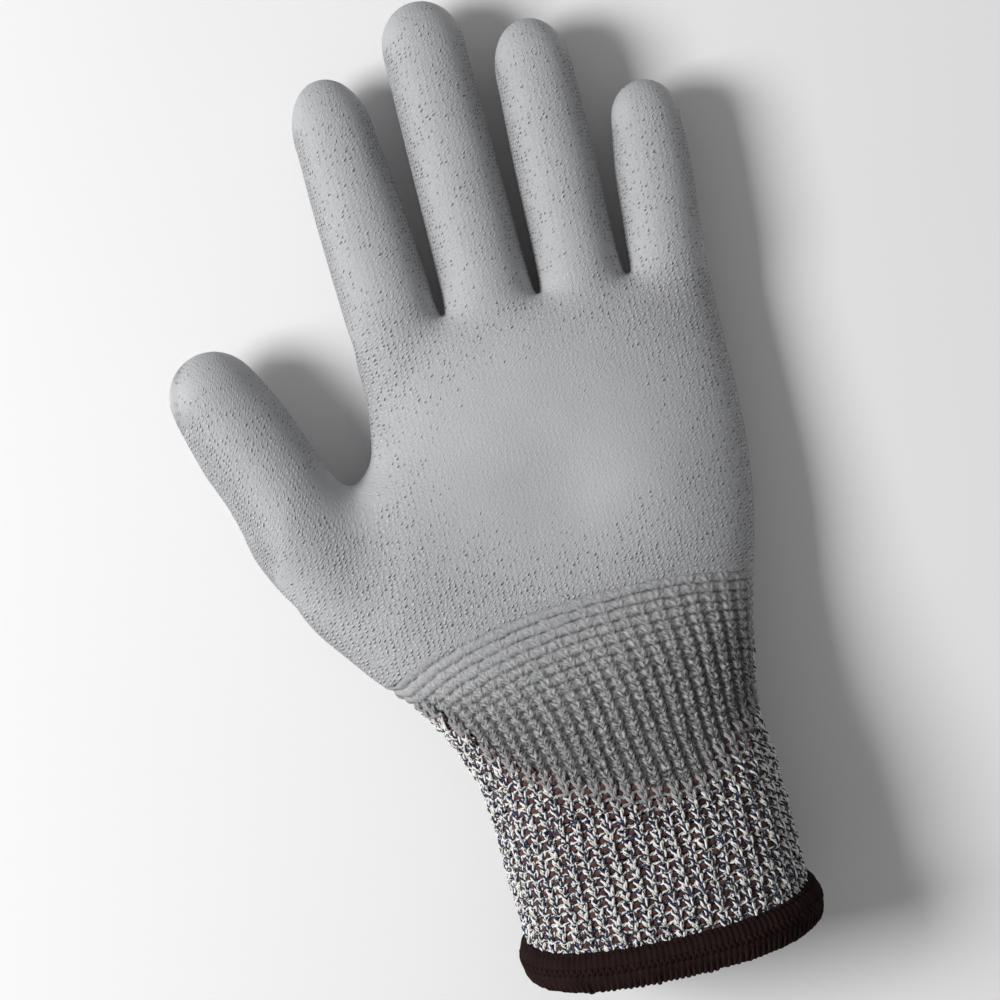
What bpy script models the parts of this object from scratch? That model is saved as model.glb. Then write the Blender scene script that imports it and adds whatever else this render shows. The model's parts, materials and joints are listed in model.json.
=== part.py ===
"""Cut resistant glove for the left hand, held in its worn shape and lying palm up.

The glove is a knitted liner with a thin dipped coating on its palm side, an elastic rib cuff and an
overlocked hem. Each finger stall bends at its fork and at two knuckles, the thumb stall at its fork
and at one knuckle, and the glove bends at the wrist. The knit is one piece on the real glove, so it
is parted here only where it bends and where the knitting changes.

Frame: +X towards the little finger, +Y towards the fingertips, +Z out of the palm. The origin is
under the middle of the glove, on the surface that it lies on. Sizes below are in millimetres.
"""

import math

import bmesh
import bpy
from mathutils import Matrix, Vector

MM = 0.001

# Layers, as depths below the glove's outer surface
COATING = (0.0, 0.5)
LINER = (0.8, 1.8)
GAP = 0.3

# Stalls
STALL_COLUMNS = 16
COLUMN_ANGLE = 2 * math.pi / STALL_COLUMNS
COATED_COLUMNS = 10
FOLD_COLUMNS = 6
SEGMENT_ROWS = 3
TIP_ROWS = 6
PIVOT_ABOVE_CENTRE = 2.0
FOLD_SLOPE = math.tan(math.radians(37.5))
STALL_SQUARENESS = 2.2
FORK_SQUARENESS = 3.0
FORK_LENGTH = 12.0

# Hand body
BODY_COLUMNS = 16
FORK_Y = 48.2
FORK_SETBACK = 1.3
THUMB_SETBACK = 0.9
FORK_PIVOT_Z = 15.5
CROTCH = Vector((-29.5, 11.0))
CROTCH_MIDDLE_Z = 13.1
PALM_SPLIT_Y = 13.6
PALM_SQUARENESS = 2.8
THENAR_SQUARENESS = 2.1
WRIST_SQUARENESS = 2.4
CROTCH_NECK = 0.24
CROTCH_BLEND = 8.0
CROTCH_REACH = 24.0
WRIST_PIVOT = Vector((20.0, -62.0, 21.5))
WRIST_ROWS = 8

# Cuff and hem
CUFF_COLUMNS = 12
CUFF_TOP_Y = -84.0
CUFF_END_Y = -114.4
CUFF_MIDDLE_Z = 23.4
CUFF_SLOPE = math.tan(math.radians(15.5))
HEM_PROUD = 2.8
NEEDLE_THREAD_RADIUS = 0.45
ELASTIC_TURNS = 5
ELASTIC_PITCH = 3.9
ELASTIC_START = 6.5
ELASTIC_RADIUS = 0.35
ELASTIC_CLEARANCE = 0.825


class Stall:
    """One finger or thumb stall: a tapering tube with a rounded end along a straight axis.

    t runs along it from its fork, and an angle runs round it from the middle of its palm side.
    """

    def __init__(self, name, base, lean, length, widths, depths, cap, knuckles, roll=0.0):
        self.name = name
        self.base = Vector(base)
        self.length = length
        self.widths = widths
        self.depths = depths
        self.cap = cap
        self.knuckles = knuckles
        lean, roll = math.radians(lean), math.radians(roll)
        level_side = Vector((math.cos(lean), math.sin(lean), 0))
        up = Vector((0, 0, 1))
        self.along = Vector((-math.sin(lean), math.cos(lean), 0))
        self.side = math.cos(roll) * level_side - math.sin(roll) * up
        self.palmar = math.cos(roll) * up + math.sin(roll) * level_side

    def pivot(self, t):
        return self.base + self.along * t + self.palmar * PIVOT_ABOVE_CENTRE

    def offset(self, t, angle, inset):
        """Where the surface lies from the axis, as (towards its side, towards the palm)."""
        width = interpolate(self.widths, t) / 2 - inset
        depth = interpolate(self.depths, t) / 2 - inset
        into_cap = (t - (self.length - inset - self.cap)) / self.cap
        if into_cap > 0:
            shrink = math.sqrt(max(0.0, 1 - min(1.0, into_cap) ** 2))
            width, depth = width * shrink, depth * shrink
        near_fork = min(1.0, max(0.0, 1 - t / FORK_LENGTH))
        power = 2 / mix(STALL_SQUARENESS, FORK_SQUARENESS, near_fork)
        return width * signed_power(math.sin(angle), power), depth * signed_power(math.cos(angle), power)

    def point(self, t, angle, inset):
        across, up = self.offset(t, angle, inset)
        return self.base + self.along * t + self.side * across + self.palmar * up

    def fold_height(self, t, angle, inset):
        """How far the surface stands above the pivots, or 0 below them."""
        return max(0.0, self.offset(t, angle, inset)[1] - PIVOT_ABOVE_CENTRE)

    def edge(self, t, side, gap=GAP):
        """End of a segment at the joint at t: square behind the pivot, cut back on the palm side."""
        return lambda angle, inset: t + side * (gap + self.fold_height(t, angle, inset) * FOLD_SLOPE)

    def rows(self, start, end, count, angles, inset):
        """Rows of points between two edges, each an edge's function of (angle, inset)."""
        return [
            [self.point(mix(start(a, inset), end(a, inset), i / count), a, inset) for a in angles]
            for i in range(count + 1)
        ]

    def closed_rows(self, start, angles, inset):
        """Rows from an edge to the rounded end, closer together near it, where the last row is one point."""
        end = self.length - inset
        rows = []
        for i in range(TIP_ROWS):
            share = math.sin(math.pi / 2 * i / TIP_ROWS)
            rows.append([self.point(mix(start(a, inset), end, share), a, inset) for a in angles])
        return rows + [[self.base + self.along * end] * len(angles)]


FINGERS = [
    Stall(
        "index",
        base=(-11.1, FORK_Y, 13.5),
        lean=4.7,
        length=64.2,
        widths=((0, 22.2), (8, 22.5), (30, 21.4), (50, 19.8)),
        depths=((0, 20.5), (30, 18.5), (50, 17.0)),
        cap=15.0,
        knuckles=(26.5, 45.0),
    ),
    Stall(
        "middle",
        base=(13.5, FORK_Y, 13.5),
        lean=1.6,
        length=75.9,
        widths=((0, 21.4), (30, 21.2), (55, 20.0)),
        depths=((0, 21.0), (30, 19.0), (55, 17.5)),
        cap=11.5,
        knuckles=(30.0, 52.0),
    ),
    Stall(
        "ring",
        base=(37.1, FORK_Y, 13.5),
        lean=-0.3,
        length=68.0,
        widths=((0, 19.6), (30, 20.0), (50, 19.6)),
        depths=((0, 20.5), (30, 18.5), (50, 17.0)),
        cap=14.0,
        knuckles=(27.5, 47.5),
    ),
    Stall(
        "little",
        base=(59.2, FORK_Y, 13.5),
        lean=-4.3,
        length=45.0,
        widths=((0, 18.8), (18, 19.0), (32, 16.8)),
        depths=((0, 19.0), (18, 17.0), (32, 15.0)),
        cap=11.0,
        knuckles=(18.0, 31.5),
    ),
]
THUMB = Stall(
    "thumb",
    base=(-45.1, 5.0, 17.5),
    lean=21.3,
    length=49.5,
    widths=((0, 28.0), (8, 25.9), (22, 26.2), (36, 23.6)),
    depths=((0, 26.0), (8, 24.0), (30, 21.0)),
    cap=12.0,
    knuckles=(26.0,),
    roll=25.0,
)

# Outline of the hand body, as (y, x) points in rising order
LITTLE_SIDE = (
    (-112, 57.4), (-94, 57.2), (-80, 56.7), (-66, 55.4), (-51, 57.8), (-35, 61.6),
    (-19, 65.7), (-4, 67.9), (12, 68.7), (31, 68.4), (49, 68.2),
)
THUMB_SIDE = (
    (-112, -13.4), (-94, -14.4), (-80, -15.0), (-70, -15.7), (-62, -18.2), (-54, -21.9),
    (-46, -27.4), (-39, -34.4), (-31, -40.9), (-23, -47.4), (-15, -52.1), (-7, -55.6), (1, -58.5),
)
INDEX_SIDE = ((12, -26.6), (16, -24.3), (21, -22.7), (31, -21.8), (49, -22.2))

# Heights of the palm and of the back over the surface under the glove, as (y, z). The back runs below
# that surface, and is let flat into it.
PALM_HEIGHT = ((-82, 44.0), (-62, 41.5), (-36, 35.0), (-10, 30.0), (13, 27.0), (36, 26.5), (48, 24.3))
BACK_HEIGHT = ((-82, 2.8), (-62, 2.0), (-36, -0.8), (-10, -2.0), (13, -2.2), (36, -1.0), (48, 2.8))

# Where the rib knit starts and where the coating ends on it, as (x, y)
RIB_START = ((-27, -45), (-10, -36), (8, -29.2), (25, -27.6), (45, -29), (64, -33))
COATING_END = ((-16, -57), (0, -70), (14, -77), (30, -81), (44, -77), (56, -64))


def mix(a, b, share):
    return a + (b - a) * share


def signed_power(value, power):
    return math.copysign(abs(value) ** power, value)


def interpolate(points, at):
    """Smooth curve through (position, value) points in rising order, level past its ends."""
    if at <= points[0][0]:
        return points[0][1]
    if at >= points[-1][0]:
        return points[-1][1]
    k = max(i for i, point in enumerate(points) if point[0] <= at)
    (x0, y0), (x1, y1) = points[k], points[k + 1]

    def slope(i):
        before, after = points[max(0, i - 1)], points[min(len(points) - 1, i + 1)]
        return (after[1] - before[1]) / (after[0] - before[0])

    width = x1 - x0
    u = (at - x0) / width
    return (
        y0 * (1 + 2 * u) * (1 - u) ** 2
        + slope(k) * width * u * (1 - u) ** 2
        + y1 * u * u * (3 - 2 * u)
        + slope(k + 1) * width * u * u * (u - 1)
    )


def lobe(x, left, right, squareness):
    """Height of a rounded section at x, from 0 at its two sides to 1 in its middle."""
    reach = min(1.0, abs(2 * x - left - right) / (right - left))
    return (1 - reach**squareness) ** (1 / squareness)


def section_height(y, shape, face, inset, valley=0.0):
    """Height of the surface where its section is shape high, on the palm (face 1) or the back (-1).

    valley is from 0 to 1, and keeps the wall's thickness up where a section is low in its middle.
    """
    palm, back = interpolate(PALM_HEIGHT, y), interpolate(BACK_HEIGHT, y)
    z = (palm + back) / 2 + face * ((palm - back) / 2 * shape - inset * max(shape, valley))
    return max(z, inset - LINER[0])


def upper_palm(share, across, face, inset):
    """The palm that the four finger stalls grow from. share runs from the thumb's fork to theirs."""
    y = mix(PALM_SPLIT_Y, FORK_Y - FORK_SETBACK, share)
    left = interpolate(INDEX_SIDE, y) + inset
    right = interpolate(LITTLE_SIDE, y) - inset
    x = mix(left, right, (across + 1) / 2)
    z = section_height(y, lobe(x, left, right, PALM_SQUARENESS), face, inset)
    return Vector((x, y - share * max(0.0, z - FORK_PIVOT_Z) * FOLD_SLOPE, z))


def thumb_opening_y(x, z):
    """Where the palm ends under the thumb stall, at x and z."""
    base, along = THUMB.base, THUMB.along
    y = base.y
    for _ in range(6):
        height = max(0.0, (Vector((x, y, z)) - THUMB.pivot(0)).dot(THUMB.palmar))
        y = base.y - (THUMB_SETBACK + height * FOLD_SLOPE + (x - base.x) * along.x) / along.y
    return y


def lower_palm(share, across, face, inset):
    """The palm from the rib knit to the forks, with the root of the thumb.

    Its far end is a section with two lobes: a round one under the thumb, and a flat one.
    """
    left = interpolate(THUMB_SIDE, mix(RIB_START[0][1], 1.0, share)) + inset
    right = interpolate(LITTLE_SIDE, mix(RIB_START[-1][1], PALM_SPLIT_Y, share)) - inset
    x = mix(left, right, (across + 1) / 2)
    top = thumb_opening_y(x, THUMB.base.z) if x < CROTCH.x else PALM_SPLIT_Y - GAP
    y = mix(interpolate(RIB_START, x) + GAP, top, share)
    plain = lobe(x, left, right, WRIST_SQUARENESS)
    if x < CROTCH.x:
        forked = lobe(x, left, CROTCH.x, THENAR_SQUARENESS)
    else:
        forked = lobe(x, CROTCH.x, right, PALM_SQUARENESS)
    if abs(x - CROTCH.x) < (right - left) / 4:
        forked = max(forked, CROTCH_NECK)
    valley = max(0.0, 1 - abs(x - CROTCH.x) / CROTCH_REACH)
    z = section_height(y, mix(plain, forked, share**2), face, inset, valley)
    under_thumb = share**2 * min(1.0, max(0.0, (CROTCH.x + CROTCH_BLEND - x) / (2 * CROTCH_BLEND)))
    z += under_thumb * (THUMB.base.z - CROTCH_MIDDLE_Z)
    if x < CROTCH.x:
        y = mix(interpolate(RIB_START, x) + GAP, thumb_opening_y(x, z), share)
    return Vector((x, y, z))


def wrist_point(y, across, face, inset):
    left = interpolate(THUMB_SIDE, y) + inset
    right = interpolate(LITTLE_SIDE, y) - inset
    x = mix(left, right, (across + 1) / 2)
    return Vector((x, y, section_height(y, lobe(x, left, right, WRIST_SQUARENESS), face, inset)))


def rib_start_point(across, face, inset):
    """The near end of the lower palm, a gap further down."""
    point = lower_palm(0.0, across, face, inset)
    return Vector((point.x, point.y - 2 * GAP, point.z))


def wrist_rib(share, across, face, inset):
    """Rib knit between the palm and the cuff, which bends with the wrist."""
    start, end = rib_start_point(across, face, inset), wrist_point(CUFF_TOP_Y + GAP, across, face, inset)
    point = start.lerp(end, share)
    if 0 < share < 1:
        point = point.lerp(wrist_point(point.y, across, face, inset), math.sin(math.pi * share / 2) ** 0.5)
    return point


def wrist_coating(share, across, face, inset):
    """The coating on the rib knit, down to the edge that it was dipped to."""
    full = wrist_rib(1.0, across, face, inset)
    start = rib_start_point(across, face, inset)
    reach = (start.y - interpolate(COATING_END, full.x)) / (start.y - full.y)
    return wrist_rib(min(share, reach), across, face, inset)


def cuff_end_y(z):
    return CUFF_END_Y - (z - CUFF_MIDDLE_Z) * CUFF_SLOPE


def cuff(share, across, face, inset):
    """The cuff from its hem upwards."""
    end = cuff_end_y(wrist_point(CUFF_END_Y, across, face, inset).z)
    return wrist_point(mix(end, CUFF_TOP_Y - GAP, share), across, face, inset)


def cuff_ring(columns):
    """(across, face) positions once round the cuff."""
    across = [-math.cos(math.pi * k / columns) for k in range(columns + 1)]
    return [(u, 1) for u in across] + [(u, -1) for u in across[-2:0:-1]]


def near_hem(position, inset, rise):
    """Point on the cuff's wall, a given height above the end of its knit."""
    end = cuff_end_y(wrist_point(CUFF_END_Y, *position, inset).z)
    return wrist_point(end + rise, *position, inset)


def hem_outline():
    """Section of the hem round the edge of the knit, as (inset, rise) points."""
    outer, inner = LINER[0] - GAP, LINER[1] + GAP
    return [
        (outer, 5.5), (-HEM_PROUD + 1.1, 5.2), (-HEM_PROUD + 0.2, 3.8), (-HEM_PROUD, 1.0),
        (-HEM_PROUD + 0.8, -1.6), (LINER[0], -2.5), (inner + 0.9, -1.6), (inner + 1.5, 1.0),
        (inner + 1.1, 4.3), (inner, 4.6), (inner, -GAP), (outer, -GAP),
    ]


class Mesh:
    """Collects vertices and faces, and joins points that coincide."""

    def __init__(self):
        self.points = []
        self.faces = []
        self.known = {}

    def vertex(self, point):
        key = tuple(round(c, 4) for c in point)
        if key not in self.known:
            self.known[key] = len(self.points)
            self.points.append(point)
        return self.known[key]

    def face(self, *corners):
        ring = list(dict.fromkeys(self.vertex(corner) for corner in corners))
        if len(ring) > 2:
            self.faces.append(ring)


def shell(outer, inner, closed=True):
    """Solid between an outer and an inner grid of points. A grid that isn't closed gets two sides.

    Every grid is split along the same diagonals, so shells that lie on each other keep their gap.
    """
    made = Mesh()
    last_row, columns = len(outer) - 1, len(outer[0])
    for j in range(columns if closed else columns - 1):
        k = (j + 1) % columns
        for i in range(last_row):
            for grid in (outer, inner):
                made.face(grid[i][j], grid[i + 1][k], grid[i][k])
                made.face(grid[i][j], grid[i + 1][j], grid[i + 1][k])
        for i in (0, last_row):
            made.face(outer[i][j], outer[i][k], inner[i][k], inner[i][j])
    if not closed:
        for i in range(last_row):
            for j in (0, columns - 1):
                made.face(outer[i][j], inner[i][j], inner[i + 1][j], outer[i + 1][j])
    return made


def swept_ring(outlines):
    """Solid ring through closed outlines, each the same number of points."""
    made = Mesh()
    for j, outline in enumerate(outlines):
        following = outlines[(j + 1) % len(outlines)]
        for i in range(len(outline)):
            k = (i + 1) % len(outline)
            made.face(outline[i], outline[k], following[k], following[i])
    return made


def body_shell(section, rows, layer, closed=True, columns=BODY_COLUMNS):
    """Shell of a hand body section: all round, or on its palm side only."""
    ring = cuff_ring(columns) if closed else cuff_ring(columns)[: columns + 1]
    grids = [
        [[section(i / rows, across, face, inset) for across, face in ring] for i in range(rows + 1)]
        for inset in layer
    ]
    return shell(*grids, closed)


def make_material(name, colour, roughness):
    material = bpy.data.materials.new(name)
    material.use_nodes = True
    shader = material.node_tree.nodes["Principled BSDF"]
    shader.inputs["Base Color"].default_value = (*colour, 1)
    shader.inputs["Roughness"].default_value = roughness
    shader.inputs["Metallic"].default_value = 0.0
    return material


class Assembly:
    """Places parts under one empty for each body, which stands on that body's joint."""

    def __init__(self):
        self.empties = {}
        self.places = {}

    def body(self, name, parent=None, pivot=Vector(), axis=Vector((1, 0, 0))):
        """Adds a body whose empty's X axis is its joint's axis."""
        empty = bpy.data.objects.new(f"body_{name}", None)
        bpy.context.scene.collection.objects.link(empty)
        turn = Vector((1, 0, 0)).rotation_difference(axis).to_matrix().to_4x4()
        place = Matrix.Translation(pivot * MM) @ turn
        empty.parent = self.empties.get(parent)
        empty.matrix_basis = self.places.get(parent, Matrix()).inverted() @ place
        empty.empty_display_size = 0.01
        self.empties[name], self.places[name] = empty, place

    def add(self, part, body, data, material):
        """Adds a mesh or curve that is in metres in the glove's frame."""
        data.transform(self.places[body].inverted())
        data.materials.append(material)
        placed = bpy.data.objects.new(part, data)
        bpy.context.scene.collection.objects.link(placed)
        placed.parent = self.empties[body]

    def solid(self, part, body, made, material):
        mesh = bpy.data.meshes.new(part)
        mesh.from_pydata([point * MM for point in made.points], [], made.faces)
        work = bmesh.new()
        work.from_mesh(mesh)
        bmesh.ops.recalc_face_normals(work, faces=work.faces)
        work.to_mesh(mesh)
        work.free()
        mesh.shade_smooth()
        mesh.set_sharp_from_angle(angle=math.radians(40))
        self.add(part, body, mesh, material)

    def thread(self, part, body, points, radius, cyclic, material):
        curve = bpy.data.curves.new(part, "CURVE")
        curve.dimensions = "3D"
        spline = curve.splines.new("POLY")
        spline.points.add(len(points) - 1)
        for place, point in zip(spline.points, points):
            place.co = (*(point * MM), 1)
        spline.use_cyclic_u = cyclic
        curve.bevel_depth = radius * MM
        curve.bevel_resolution = 0
        curve.use_fill_caps = True
        self.add(part, body, curve, material)


def arc(columns):
    """Angles of a run of columns over the middle of the palm side."""
    return [(k - columns / 2) * COLUMN_ANGLE for k in range(columns + 1)]


def build_stall(assembly, stall, segments, materials):
    """Liner, coating and fold patch of each segment. segments names them from the fork outwards."""
    all_round = [k * COLUMN_ANGLE for k in range(STALL_COLUMNS)]
    joints = (0.0, *stall.knuckles)
    parent = "palm"
    for i, (segment, joint) in enumerate(zip(segments, joints)):
        body = f"{stall.name}_{segment}"
        assembly.body(body, parent, stall.pivot(joint), stall.side)
        start = stall.edge(joint, 1)
        for layer, angles, closed, what in (
            (LINER, all_round, True, "liner"),
            (COATING, arc(COATED_COLUMNS), False, "coating"),
        ):
            if i + 1 < len(segments):
                end = stall.edge(joints[i + 1], -1)
                grids = [stall.rows(start, end, SEGMENT_ROWS, angles, inset) for inset in layer]
            else:
                grids = [stall.closed_rows(start, angles, inset) for inset in layer]
            assembly.solid(f"{body}_{what}", body, shell(*grids, closed), materials[what])
        near, far = stall.edge(joint, -1, gap=0.0), stall.edge(joint, 1, gap=0.0)
        folds = [stall.rows(near, far, 2, arc(FOLD_COLUMNS), inset) for inset in (COATING[0], LINER[1])]
        assembly.solid(f"{body}_fold", body, shell(*folds, closed=False), materials["fold"])
        parent = body


def build_hand_body(assembly, materials):
    assembly.body("palm")
    liner, coating = materials["liner"], materials["coating"]
    for name, section, rows in (("four_finger_palm", upper_palm, 4), ("five_finger_palm", lower_palm, 6)):
        assembly.solid(f"{name}_liner", "palm", body_shell(section, rows, LINER), liner)
        assembly.solid(f"{name}_coating", "palm", body_shell(section, rows, COATING, closed=False), coating)
    assembly.solid("wrist_rib_liner", "palm", body_shell(wrist_rib, WRIST_ROWS, LINER), liner)
    rib_coating = body_shell(wrist_coating, WRIST_ROWS, COATING, closed=False)
    assembly.solid("wrist_rib_coating", "palm", rib_coating, coating)


def build_cuff(assembly, materials):
    assembly.body("cuff", "palm", WRIST_PIVOT)
    assembly.solid("cuff_liner", "cuff", body_shell(cuff, 2, LINER, columns=CUFF_COLUMNS), materials["liner"])
    ring = cuff_ring(CUFF_COLUMNS)
    hem = swept_ring([[near_hem(position, *at) for at in hem_outline()] for position in ring])
    assembly.solid("hem_overlock", "cuff", hem, materials["hem"])
    thread_inset = LINER[0] - GAP - NEEDLE_THREAD_RADIUS
    thread_rise = hem_outline()[0][1] + GAP + NEEDLE_THREAD_RADIUS
    stitch_line = [near_hem(position, thread_inset, thread_rise) for position in ring]
    assembly.thread("hem_needle_thread", "cuff", stitch_line, NEEDLE_THREAD_RADIUS, True, materials["hem"])
    yarn_inset = LINER[1] + ELASTIC_CLEARANCE
    yarn = [
        near_hem(ring[k % len(ring)], yarn_inset, ELASTIC_START + ELASTIC_PITCH * k / len(ring))
        for k in range(ELASTIC_TURNS * len(ring) + 1)
    ]
    assembly.thread("cuff_elastic_yarn", "cuff", yarn, ELASTIC_RADIUS, False, materials["elastic"])


def main():
    for old in list(bpy.data.objects):
        bpy.data.objects.remove(old)
    materials = {
        "liner": make_material("liner", (0.30, 0.29, 0.31), 0.9),
        "coating": make_material("coating", (0.45, 0.46, 0.47), 0.6),
        "fold": make_material("fold", (0.36, 0.37, 0.38), 0.7),
        "hem": make_material("hem", (0.022, 0.014, 0.012), 0.85),
        "elastic": make_material("elastic", (0.11, 0.035, 0.028), 0.8),
    }
    assembly = Assembly()
    build_hand_body(assembly, materials)
    build_cuff(assembly, materials)
    for finger in FINGERS:
        build_stall(assembly, finger, ("base", "middle", "tip"), materials)
    build_stall(assembly, THUMB, ("base", "tip"), materials)


main()
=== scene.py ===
"""Looks of the cut resistant glove: coated film, speckled knit, rib cuff and overlocked hem.

Shapes are worked out in millimetres in the glove's frame, and turned into metres as each piece is made.
"""

import json
import math

import bpy
import numpy as np
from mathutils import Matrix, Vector, noise


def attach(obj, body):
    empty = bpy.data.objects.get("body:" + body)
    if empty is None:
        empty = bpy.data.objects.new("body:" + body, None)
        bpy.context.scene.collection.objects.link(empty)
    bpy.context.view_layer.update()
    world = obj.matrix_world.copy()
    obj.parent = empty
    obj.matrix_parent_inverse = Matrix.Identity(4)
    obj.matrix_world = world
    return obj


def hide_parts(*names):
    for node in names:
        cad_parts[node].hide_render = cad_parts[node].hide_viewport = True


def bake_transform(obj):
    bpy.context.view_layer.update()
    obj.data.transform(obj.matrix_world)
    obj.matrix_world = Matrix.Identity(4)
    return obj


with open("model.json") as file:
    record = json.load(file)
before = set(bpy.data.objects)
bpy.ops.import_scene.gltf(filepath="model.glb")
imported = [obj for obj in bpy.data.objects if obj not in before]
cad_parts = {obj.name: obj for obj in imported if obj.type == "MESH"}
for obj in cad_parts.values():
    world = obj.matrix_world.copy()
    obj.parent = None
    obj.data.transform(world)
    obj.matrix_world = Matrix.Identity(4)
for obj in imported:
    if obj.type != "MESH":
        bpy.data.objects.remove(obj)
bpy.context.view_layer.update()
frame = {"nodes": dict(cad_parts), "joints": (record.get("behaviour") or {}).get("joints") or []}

MM = 0.001

# --- Shape, in millimetres ---

VOXEL = 0.8
FILM_THICKNESS = 0.35
# How deep the film sinks at its edge, and how deep both layers go under the rib
FILM_SINKS = 0.25
UNDER_RIB = 1.6
# How far round the sides the film reaches: 1 is the palm side, 0 the glove's edge, -1 the back
FILM_EDGE = -0.32
# The film's mesh starts this far outside its edge, and the knit's ends this far under it, on the same scale
FILM_FROM = -0.10
KNIT_TO = 0.25

# Width and depth of each stall along it from its fork, the length of its rounded end, and how far it
# stays inside the CAD's tip
STALLS = {
    "index": {
        "width": ((-14, 21.5), (0, 22.4), (10, 22.3), (30, 21.3), (46, 19.7)),
        "depth": ((-14, 18), (0, 20.5), (30, 18.5), (50, 17.5)),
        "cap": 15.5,
        "trim": 1.2,
    },
    "middle": {
        "width": ((-14, 21), (0, 22.5), (5, 21.8), (10, 21.4), (40, 20.8), (60, 20.2)),
        "depth": ((-14, 18), (0, 21), (30, 19), (60, 17.5)),
        "cap": 12.0,
        "trim": -0.6,
    },
    "ring": {
        "width": ((-14, 19), (0, 20.8), (5, 20.2), (10, 19.9), (30, 19.9), (50, 19.0)),
        "depth": ((-14, 17), (0, 20.5), (30, 18.5), (50, 17.5)),
        "cap": 14.0,
        "trim": 1.7,
    },
    "little": {
        "width": ((-14, 17), (0, 19.0), (10, 18.7), (22, 18.8), (34, 17.0)),
        "depth": ((-14, 15), (0, 18.5), (18, 17), (34, 15.5)),
        "cap": 10.5,
        "trim": 0.0,
    },
    "thumb": {
        "width": ((-24, 22), (-12, 27), (0, 28.5), (5, 26.8), (12, 25.6), (22, 26.0), (30, 25.0), (38, 22.8)),
        "depth": ((-24, 20), (-10, 26), (0, 26), (30, 21.5), (38, 20.5)),
        "cap": 12.5,
        "trim": 1.2,
    },
}
STALL_SQUARENESS = 2.1
CAP_SQUARENESS = 2.15
FINGERS = ("index", "middle", "ring", "little")

# Sides of the hand body as (y, x), and its heights as (y, z)
LITTLE_SIDE = (
    (-124, 57.6), (-112, 57.4), (-94, 57.2), (-80, 56.7), (-66, 55.4), (-51, 57.8), (-35, 61.6),
    (-19, 65.7), (-4, 67.9), (12, 68.7), (31, 68.4), (42, 68.4), (50, 66.5),
)
THUMB_SIDE = (
    (-124, -12.0), (-112, -12.5), (-94, -13.5), (-80, -14.3), (-70, -15.3), (-62, -18.0), (-54, -21.9),
    (-46, -27.4), (-39, -34.4), (-31, -40.9), (-23, -47.0), (-15, -50.6), (-8, -50.0), (2, -42.0),
    (9, -31.5), (13, -26.0), (18, -23.6), (24, -22.4), (31, -21.8), (42, -22.0), (50, -20.0),
)
PALM_HEIGHT = (
    (-124, 44.0), (-82, 44.0), (-62, 41.5), (-36, 35.0), (-10, 30.0), (13, 27.0), (36, 26.0),
    (42, 24.2), (47, 18.5),
)
BACK_HEIGHT = (
    (-124, 3.3), (-82, 3.3), (-62, 2.3), (-36, -0.8), (-10, -2.0), (13, -2.2), (36, -1.0),
    (42, 1.5), (47, 8),
)
BODY_SQUARENESS = 2.3
# Soft rises and hollows of the palm, as (x, y, radius, height)
PALM_FORMS = ((-24, -12, 26, 1.2), (46, -6, 26, 1.8), (20, -2, 18, -1.2), (22, 38, 30, 0.6))

# The web between thumb and index finger, and the crease along the thumb's root, as (x, y) from end to end
THUMB_WEB = ((-30, 12), (-31, 8))
THUMB_ROOT = ((-31, 6), (-40, -22))
FINGER_ROOTS_Y = 43
MIDDLE_Z = 14

# Where the rib knit starts and where the film ends on it, as (x, y)
RIB_START = ((-35, -41.5), (-21, -36.5), (-7, -32.6), (10, -29.6), (27, -28.4), (45, -29), (64, -32.5))
FILM_END = ((-20, -50), (-14, -59), (0, -71), (14, -77.5), (30, -81), (44, -77), (54, -66), (60, -56))

# Rib knit: raised columns round it and rows along it, and the size of each
WALES = 50
COURSES = 36
RIB_WALE = 3.86
RIB_COURSE = 2.4
YARN_ROOM = 0.9
HEM_END_Y = -114.4
HEM_SLOPE = math.tan(math.radians(15.5))
HEM_MIDDLE_Z = 23.4


def interpolate(points, at):
    """Smooth curve through (position, value) points, for an array of positions, level past the ends."""
    x, y = np.array(points, float).T
    at = np.clip(np.asarray(at, float), x[0], x[-1])
    k = np.clip(np.searchsorted(x, at, side="right") - 1, 0, len(x) - 2)
    slopes = np.empty(len(x))
    slopes[1:-1] = (y[2:] - y[:-2]) / (x[2:] - x[:-2])
    slopes[0] = (y[1] - y[0]) / (x[1] - x[0])
    slopes[-1] = (y[-1] - y[-2]) / (x[-1] - x[-2])
    width = x[k + 1] - x[k]
    u = (at - x[k]) / width
    return (
        y[k] * (1 + 2 * u) * (1 - u) ** 2
        + slopes[k] * width * u * (1 - u) ** 2
        + y[k + 1] * u * u * (3 - 2 * u)
        + slopes[k + 1] * width * u * u * (u - 1)
    )


def smoothstep(low, high, at):
    share = np.clip((at - low) / (high - low), 0, 1)
    return share * share * (3 - 2 * share)


def signed_power(value, power):
    return np.sign(value) * np.abs(value) ** power


def unit(v):
    v = np.asarray(v, float)
    return v / np.linalg.norm(v, axis=-1, keepdims=True)


def noise_at(points, scale, seed=0.0):
    """Smooth noise from about -1 to 1 at each point, in the array's shape."""
    shift = Vector((seed * 17.3, seed * 5.1, seed * 9.7))
    flat = points.reshape(-1, 3)
    return np.array([noise.noise(Vector(p) * scale + shift) for p in flat]).reshape(points.shape[:-1])


# --- Stalls, placed by the CAD's joints ---

JOINTS = {joint["name"]: joint for joint in frame["joints"]}
PIVOT_ABOVE_CENTRE = 2.0


def node_reach(node, origin, along):
    """How far a CAD node reaches from origin along a direction, in millimetres."""
    points = np.array([v.co for v in frame["nodes"][node].data.vertices]) / MM
    return ((points - origin) @ along).max()


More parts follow.
